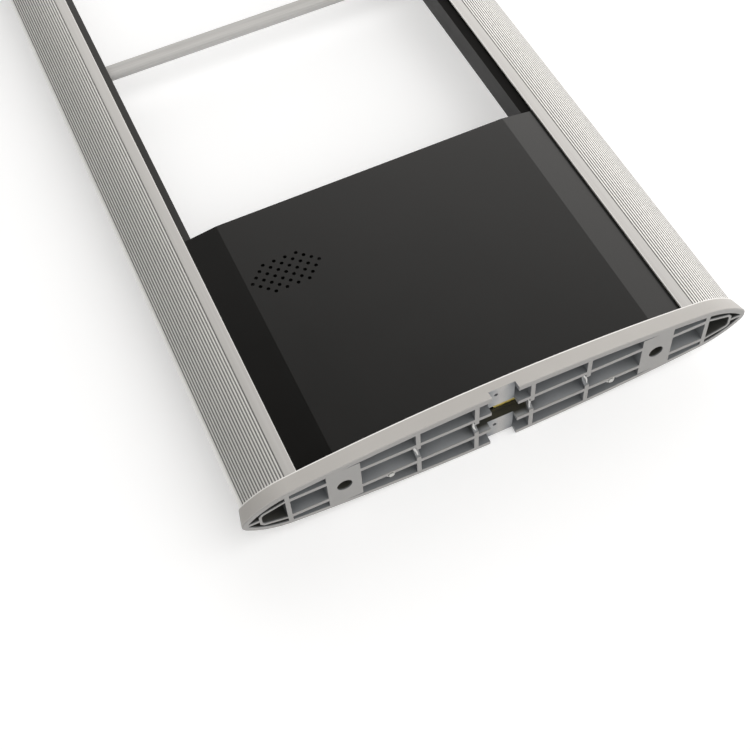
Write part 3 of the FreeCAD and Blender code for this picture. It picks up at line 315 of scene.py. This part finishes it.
def ribbed_foot(name, cable_way=False):
    """Silver-grey moulding with painted shade: cooler and darker down in its cells, darkest in its nose
    wells, darker on its rim faces.

    Its upper edge carries a painted highlight. With a cable way, that way and the anchor holes get
    painted shade too.
    """
    made = Recipe(name)
    cloud = made.noise((11, 11, 11))
    face = made.ramp(cloud, "Fac", [(0.32, (0.49, 0.475, 0.455)), (0.68, (0.54, 0.525, 0.505))])
    # painted shade: a darker, cooler tone for faces down in the cells
    cell_shade = made.ramp(cloud, "Fac", [(0.32, (0.15, 0.16, 0.17)), (0.68, (0.2, 0.21, 0.22))])
    # painted shade: ambient occlusion picks the faces in the cells that get the darker tones
    open_air = made.crevices(CELL_REACH, 0.44, 0.92)
    across, value = made.axis("X", absolute=True)
    # painted shade: the nose wells get the darkest tones
    nose = made.above(across, value, NOSE_START, NOSE_FADE)
    # painted shade: near black deep in the nose wells, cool grey and dark grey on the walls higher up
    pit = made.blend(nose, cell_shade, (0.035, 0.035, 0.032))
    upper = made.blend(nose, (0.31, 0.322, 0.335), (0.13, 0.13, 0.127))
    wall = made.blend(open_air, pit, upper)
    # painted shade: only fully open faces keep the foot's own tone
    body = made.blend(made.crevices(CELL_REACH, 0.93, 0.995), wall, face)
    depth, output = made.axis("Y", absolute=True)
    # painted highlight: a near-white line along the foot's upper edge next to the deck
    edge = made.below(depth, output, DECK_EDGE + EDGE_WIDTH, EDGE_FADE)
    with_painted_highlight = made.blend(edge, body, (0.95, 0.94, 0.92))
    # painted shade: the faces at the rim get a darker grey, and the cell tone where ambient occlusion
    # finds walls
    rim = made.above(depth, output, FOOT_REACH - RIM_DEPTH, EDGE_FADE)
    under_shade = made.blend(open_air, cell_shade, (0.325, 0.32, 0.313))
    moulding = made.blend(rim, with_painted_highlight, under_shade)
    if cable_way:
        recess = painted_recess_shade(made, depth, output)
        # painted shade: near black in the cable way and the anchor holes
        moulding = made.blend(recess, moulding, (0.04, 0.04, 0.034), "Value")
    made.shade_with(moulding)
    smudge = made.noise((26, 17, 26), detail=4.0)
    made.roughness(made.between(smudge, "Fac", 0.42, 0.5))
    fine = made.noise((1500, 1500, 1500), detail=2.0)
    made.bump(fine, "Fac", 0.000012)
    return made.material


def grooved_profile(name):
    """Satin anodised extrusion: painted shade in the grooves, painted highlights on the ridges and the
    lip, a plain band.
    """
    made = Recipe(name, metallic=0.45)
    streaks = made.noise((700, 8, 700), detail=4.0, roughness=0.6)
    band = made.ramp(streaks, "Fac", [(0.3, (0.6, 0.59, 0.575)), (0.7, (0.66, 0.65, 0.635))])
    across, output = made.axis("X", absolute=True)
    # painted highlight: the ridged side beyond the band is painted near white
    ridge_highlight = made.above(across, output, BAND_EDGE, BAND_FADE)
    body = made.blend(ridge_highlight, band, (0.92, 0.91, 0.89))
    # painted shade: the grooves turn near black where ambient occlusion finds their walls
    groove = made.crevices(GROOVE_REACH, 0.45, 0.95)
    cut = made.blend(groove, (0.1, 0.1, 0.095), body)
    # painted highlight: a near-white line along the flange's inner lip
    lip = made.below(across, output, OPENING_EDGE + LIP_WIDTH, LIP_FADE)
    made.shade_with(made.blend(lip, cut, (0.96, 0.95, 0.93)))
    patches = made.noise((14, 9, 14), detail=2.0)
    made.roughness(made.between(patches, "Fac", 0.38, 0.44))
    made.bump(streaks, "Fac", 0.000002)
    return made.material


def circuit_board(name):
    """Green solder mask over copper tracks."""
    made = Recipe(name, coat=0.3)
    tracks = made.node("ShaderNodeTexBrick")
    for socket, value in (("Scale", 1.0), ("Mortar Size", 0.00035), ("Brick Width", 0.006),
                          ("Row Height", 0.0022), ("Mortar Smooth", 0.1)):
        tracks.inputs[socket].default_value = value
    tracks.inputs["Color1"].default_value = (0.012, 0.11, 0.045, 1)
    tracks.inputs["Color2"].default_value = (0.016, 0.13, 0.052, 1)
    tracks.inputs["Mortar"].default_value = (0.035, 0.22, 0.085, 1)
    made.link(made.place, "Object", tracks, "Vector")
    made.colour(tracks)
    cloud = made.noise((60, 60, 60))
    made.roughness(made.between(cloud, "Fac", 0.28, 0.42))
    made.bump(tracks, "Fac", 0.00004)
    return made.material


def spangled_steel(name):
    """Galvanised sheet: flat crystals, each with its own tone."""
    made = Recipe(name, metallic=1.0)
    crystals = made.node("ShaderNodeTexVoronoi")
    crystals.inputs["Scale"].default_value = 160
    made.link(made.place, "Object", crystals, "Vector")
    made.colour(made.ramp(crystals, "Color", [(0.2, (0.36, 0.37, 0.38)), (0.8, (0.5, 0.51, 0.52))]))
    made.roughness(made.between(crystals, "Distance", 0.3, 0.48, 0.0, 0.6))
    return made.material


def wound_wire(name, dark, light, pitch, axis):
    """Turns of wire side by side across one axis."""
    made = Recipe(name, metallic=0.6)
    waves = made.node("ShaderNodeTexWave", bands_direction=axis)
    waves.inputs["Scale"].default_value = 1 / pitch / 20
    waves.inputs["Distortion"].default_value = 0.2
    made.link(made.mapped((20, 20, 20)), "Vector", waves, "Vector")
    made.colour(made.ramp(waves, "Fac", [(0.1, dark), (0.8, light)]))
    cloud = made.noise((80, 80, 80))
    made.roughness(made.between(cloud, "Fac", 0.3, 0.5))
    made.bump(waves, "Fac", pitch * 0.3)
    return made.material


def ribbed_lens(name):
    """Tinted acrylic with fine diffusing ribs."""
    made = Recipe(name, Transmission_Weight=0.75, IOR=1.49)
    cloud = made.noise((40, 40, 40))
    made.colour(made.ramp(cloud, "Fac", [(0.3, (0.62, 0.035, 0.02)), (0.7, (0.7, 0.05, 0.03))]))
    ribs = made.node("ShaderNodeTexWave", bands_direction="X")
    ribs.inputs["Scale"].default_value = 12
    made.link(made.mapped((8, 8, 8)), "Vector", ribs, "Vector")
    made.roughness(made.between(ribs, "Fac", 0.18, 0.34, 0.0, 1.0))
    made.bump(ribs, "Fac", 0.0002)
    return made.material


def make_materials():
    """Every material by a short name."""
    return {
        "anodised": grooved_profile("anodised_aluminium"),
        "tube": brushed_metal("drawn_tube", (0.46, 0.455, 0.445), (0.56, 0.555, 0.545),
                              (10, 900, 900), (0.52, 0.58), 0.000003, 0.15),
        "trim": moulded_plastic("trim_black", (0.0055, 0.0048, 0.0042), (0.0075, 0.0067, 0.006),
                                (0.4, 0.46), grain=1500, specular=0.24),
        "cover": moulded_plastic("cover_black", (0.0036, 0.0034, 0.003), (0.0048, 0.0046, 0.0041),
                                 (0.24, 0.27), grain=3200, grain_height=0.000006, specular=0.56),
        "foot": ribbed_foot("foot_grey", cable_way=True),
        "head": ribbed_foot("head_grey"),
        # painted highlight: the flash's pale colour stands for glints in the notches; its gloss is real
        "flash": moulded_plastic("flash_painted_glint", (0.62, 0.62, 0.61), (0.78, 0.78, 0.77), (0.12, 0.22),
                                 grain=900, grain_height=0.00006, coat=0.6),
        "zinc": brushed_metal("zinc_plate", (0.5, 0.5, 0.48), (0.62, 0.62, 0.59), (900, 900, 900),
                              (0.28, 0.4)),
        "nylon": moulded_plastic("white_nylon", (0.78, 0.77, 0.74), (0.86, 0.85, 0.82), (0.35, 0.5)),
        "sheet_steel": spangled_steel("galvanised_sheet"),
        "board": circuit_board("green_board"),
        "chip": moulded_plastic("chip_black", (0.012, 0.012, 0.012), (0.02, 0.02, 0.02), (0.4, 0.55)),
        "can": moulded_plastic("can_sleeve", (0.02, 0.03, 0.09), (0.03, 0.04, 0.12), (0.25, 0.35)),
        "terminal": moulded_plastic("terminal_green", (0.02, 0.2, 0.06), (0.03, 0.26, 0.08),
                                    (0.35, 0.5)),
        "yellow": moulded_plastic("yellow_box", (0.62, 0.43, 0.03), (0.7, 0.5, 0.05), (0.3, 0.42)),
        "plug": moulded_plastic("plug_black", (0.015, 0.015, 0.015), (0.025, 0.025, 0.025),
                                (0.45, 0.6)),
        "core": brushed_metal("core_laminations", (0.12, 0.12, 0.125), (0.22, 0.22, 0.23),
                              (8, 8, 2200), (0.4, 0.6)),
        "coil_can": brushed_metal("coil_can", (0.5, 0.5, 0.5), (0.6, 0.6, 0.6), (300, 300, 20),
                                  (0.25, 0.35)),
        "ring": moulded_plastic("ring_yellow", (0.9, 0.74, 0.2), (0.95, 0.82, 0.3), (0.2, 0.3),
                                grain=500, grain_height=0.00004, coat=0.5),
        "tape": moulded_plastic("yellow_tape", (0.68, 0.5, 0.04), (0.78, 0.6, 0.07), (0.25, 0.4),
                                grain=500, grain_height=0.00006),
        "winding": wound_wire("taped_winding", (0.16, 0.08, 0.03), (0.38, 0.2, 0.09), 0.0012, "Z"),
        "speaker": moulded_plastic("speaker_black", (0.014, 0.014, 0.014), (0.03, 0.03, 0.03),
                                   (0.55, 0.75), grain=900, grain_height=0.00008),
        "lamp": moulded_plastic("lamp_white", (0.7, 0.66, 0.5), (0.82, 0.78, 0.6), (0.2, 0.3)),
        "lens": ribbed_lens("red_lens"),
    }


MATERIALS = make_materials()
MATERIAL_OF = {
    "anodised": ("left_profile", "right_profile"),
    "tube": ("lower_crossbar", "upper_crossbar"),
    "trim": ("left_trim_strip", "right_trim_strip"),
    "cover": ("front_cover", "rear_cover", "upper_front_cover", "upper_rear_cover"),
    "foot": ("base_foot",),
    "head": ("head_cap",),
    "zinc": ("profile_screws", "head_screws", "chassis_screws", "chassis_nuts", "board_screws",
             "board_spacers", "lamp_screws"),
    "nylon": ("chassis_washers",),
    "sheet_steel": ("chassis_plate",),
    "board": ("main_board", "power_board", "lamp_board"),
    "chip": ("board_chips",),
    "can": ("board_capacitors",),
    "terminal": ("terminal_blocks",),
    "yellow": ("power_filters",),
    "plug": ("crossbar_plugs", "lamp_pillars", "ring_cradle"),
    "core": ("transformer_core",),
    "coil_can": ("tuning_coils",),
    "ring": ("ring_core",),
    "tape": ("transformer_winding",),
    "winding": ("antenna_winding",),
    "speaker": ("speaker",),
    "lamp": ("lamp_leds",),
    "lens": ("alarm_lens",),
}


def dress_nodes():
    """Give each CAD node its material, and leave its shape and place alone."""
    for name, nodes in MATERIAL_OF.items():
        for node in nodes:
            thing = NODES[node]
            if not thing.material_slots:
                thing.data.materials.append(MATERIALS[name])
            for slot in thing.material_slots:
                slot.material = MATERIALS[name]


def notch_flash(name, across, phase):
    """A curl of moulding flash left along a cross rib's half-round cable notch; its pale colour is a
    painted glint.
    """
    middle = Vector((across, CAD_LOW.y, MIDDLE_Z))
    mesh = bmesh.new()
    rows = []
    for step in range(FLASH_STEPS + 1):
        share = step / FLASH_STEPS
        turn = FLASH_START + FLASH_SWEEP * share
        half = FLASH_END_HALF + FLASH_SWELL * math.sin(math.pi * share)
        lift = NOTCH_RADIUS - half + FLASH_RIPPLE * math.sin(FLASH_RIPPLES * share + phase)
        sway = FLASH_SWAY * math.sin(FLASH_SWAYS * share + 2 * phase)
        row = []
        for side in (-1, 0, 1):
            radius = lift + abs(side) * FLASH_RIM_LIFT
            row.append(mesh.verts.new((middle.x + sway + side * half,
                                       middle.y + radius * math.sin(turn),
                                       middle.z - radius * math.cos(turn))))
        rows.append(row)
    for first, second in zip(rows, rows[1:]):
        for left in (0, 1):
            mesh.faces.new((first[left], first[left + 1], second[left + 1], second[left]))
    data = bpy.data.meshes.new(name)
    mesh.to_mesh(data)
    mesh.free()
    data.polygons.foreach_set("use_smooth", [True] * len(data.polygons))
    data.materials.append(MATERIALS["flash"])
    piece = bpy.data.objects.new(name, data)
    bpy.context.collection.objects.link(piece)
    solid = piece.modifiers.new("thickness", "SOLIDIFY")
    solid.thickness = FLASH_THICKNESS
    solid.offset = 0
    smooth = piece.modifiers.new("rounding", "SUBSURF")
    smooth.levels = 2
    smooth.render_levels = 2
    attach(piece, "gate_frame")


dress_nodes()
for number, (across, phase) in enumerate(zip(CROSS_RIBS, FLASH_PHASES), start=1):
    notch_flash(f"notch_flash_{number}", across, phase)


# ---------------------------------------------------------------- floor, light and camera

def make_floor():
    """A pale seamless floor that shows white and keeps the gate's own shadow."""
    made = Recipe("studio_floor", specular=0.2)
    cloud = made.noise((3, 3, 3))
    made.colour(made.ramp(cloud, "Fac", [(0.3, (0.8, 0.815, 0.835)), (0.7, (0.82, 0.835, 0.855))]))
    made.shader.inputs["Roughness"].default_value = 0.6
    glow = made.node("ShaderNodeEmission")
    glow.inputs["Color"].default_value = (1, 0.985, 0.965, 1)
    path = made.node("ShaderNodeLightPath")
    source, output = path, "Is Camera Ray"
    for ray in ("Is Glossy Ray", "Is Transmission Ray"):
        either = made.node("ShaderNodeMath", operation="MAXIMUM")
        made.link(source, output, either, 0)
        made.link(path, ray, either, 1)
        source, output = either, "Value"
    level = made.node("ShaderNodeMath", operation="MULTIPLY")
    level.inputs[1].default_value = FLOOR_GLOW
    made.link(source, output, level, 0)
    made.link(level, "Value", glow, "Strength")
    both = made.node("ShaderNodeAddShader")
    made.link(made.shader, "BSDF", both, 0)
    made.link(glow, "Emission", both, 1)
    made.link(both, "Shader", made.output, "Surface")
    corners = [(FLOOR_REACH * x, FLOOR_REACH * y, 0) for x, y in ((-1, -1), (1, -1), (1, 1), (-1, 1))]
    mesh = bpy.data.meshes.new("floor")
    mesh.from_pydata(corners, [], [(0, 1, 2, 3)])
    mesh.materials.append(made.material)
    floor = bpy.data.objects.new("floor", mesh)
    bpy.context.collection.objects.link(floor)
    floor.location.z = CAD_LOW.z - FLOOR_DROP


def make_world():
    """Studio light by direction: the reflector that the black covers mirror, and the panels."""
    world = bpy.data.worlds.new("studio")
    bpy.context.scene.world = world
    world.use_nodes = True
    tree = world.node_tree
    tree.nodes.clear()

    def node(kind, **settings):
        made = tree.nodes.new(kind)
        for name, value in settings.items():
            setattr(made, name, value)
        return made

    def along(direction):
        towards = node("ShaderNodeVectorMath", operation="DOT_PRODUCT")
        towards.inputs[1].default_value = direction
        tree.links.new(place.outputs["Generated"], towards.inputs[0])
        return towards.outputs["Value"]

    def combined(kind, first, second):
        made = node("ShaderNodeMath", operation=kind)
        tree.links.new(first, made.inputs[0])
        if isinstance(second, float):
            made.inputs[1].default_value = second
        else:
            tree.links.new(second, made.inputs[1])
        return made.outputs["Value"]

    output = node("ShaderNodeOutputWorld")
    place = node("ShaderNodeTexCoord")
    glow = combined("POWER", combined("MAXIMUM", along(WALL_GLOW), 0.0), 2.0)
    wall = combined("MINIMUM", combined("MAXIMUM", glow, WALL_LIMITS[0]), WALL_LIMITS[1])
    total = wall
    for direction, level in PANELS:
        panel = node("ShaderNodeMapRange", interpolation_type="SMOOTHSTEP")
        panel.inputs["From Min"].default_value = PANEL_EDGE[0]
        panel.inputs["From Max"].default_value = PANEL_EDGE[1]
        panel.inputs["To Max"].default_value = level
        tree.links.new(along(Vector(direction).normalized()), panel.inputs["Value"])
        total = combined("ADD", total, panel.outputs["Result"])
    soft = node("ShaderNodeBackground")
    soft.inputs["Color"].default_value = (1, 0.98, 0.955, 1)
    tree.links.new(total, soft.inputs["Strength"])
    white = node("ShaderNodeBackground")
    white.inputs["Color"].default_value = (1, 1, 1, 1)
    path = node("ShaderNodeLightPath")
    mix = node("ShaderNodeMixShader")
    tree.links.new(path.outputs["Is Camera Ray"], mix.inputs["Fac"])
    tree.links.new(soft.outputs["Background"], mix.inputs[1])
    tree.links.new(white.outputs["Background"], mix.inputs[2])
    tree.links.new(mix.outputs["Shader"], output.inputs["Surface"])


def make_light():
    """One large soft square, high on the right of the foot."""
    light = bpy.data.lights.new("right", "AREA")
    light.shape = "RECTANGLE"
    light.size = LIGHT_SIDE
    light.size_y = LIGHT_SIDE
    light.energy = LIGHT_POWER
    light.color = LIGHT_TINT
    box = bpy.data.objects.new("right", light)
    place = LIGHT_AIM + LIGHT_OFFSET
    box.location = place
    box.rotation_mode = "QUATERNION"
    box.rotation_quaternion = (LIGHT_AIM - place).to_track_quat("-Z", "Y")
    bpy.context.collection.objects.link(box)


def make_camera():
    """Looks down over the foot's left front corner along the gate."""
    data = bpy.data.cameras.new("view")
    camera = bpy.data.objects.new("view", data)
    bpy.context.collection.objects.link(camera)
    bpy.context.scene.camera = camera
    turn = (CAMERA_AIM - CAMERA_PLACE).to_track_quat("-Z", "Y").to_matrix().to_4x4()
    roll = Matrix.Rotation(-CAMERA_ROLL, 4, "Z")
    camera.matrix_world = Matrix.Translation(CAMERA_PLACE) @ turn @ roll
    data.lens = CAMERA_LENS
    data.sensor_width = CAMERA_SENSOR
    data.shift_x, data.shift_y = CAMERA_SHIFT
    data.clip_start, data.clip_end = CAMERA_CLIP


make_floor()
make_world()
make_light()
make_camera()
bpy.context.scene.view_settings.view_transform = "Standard"
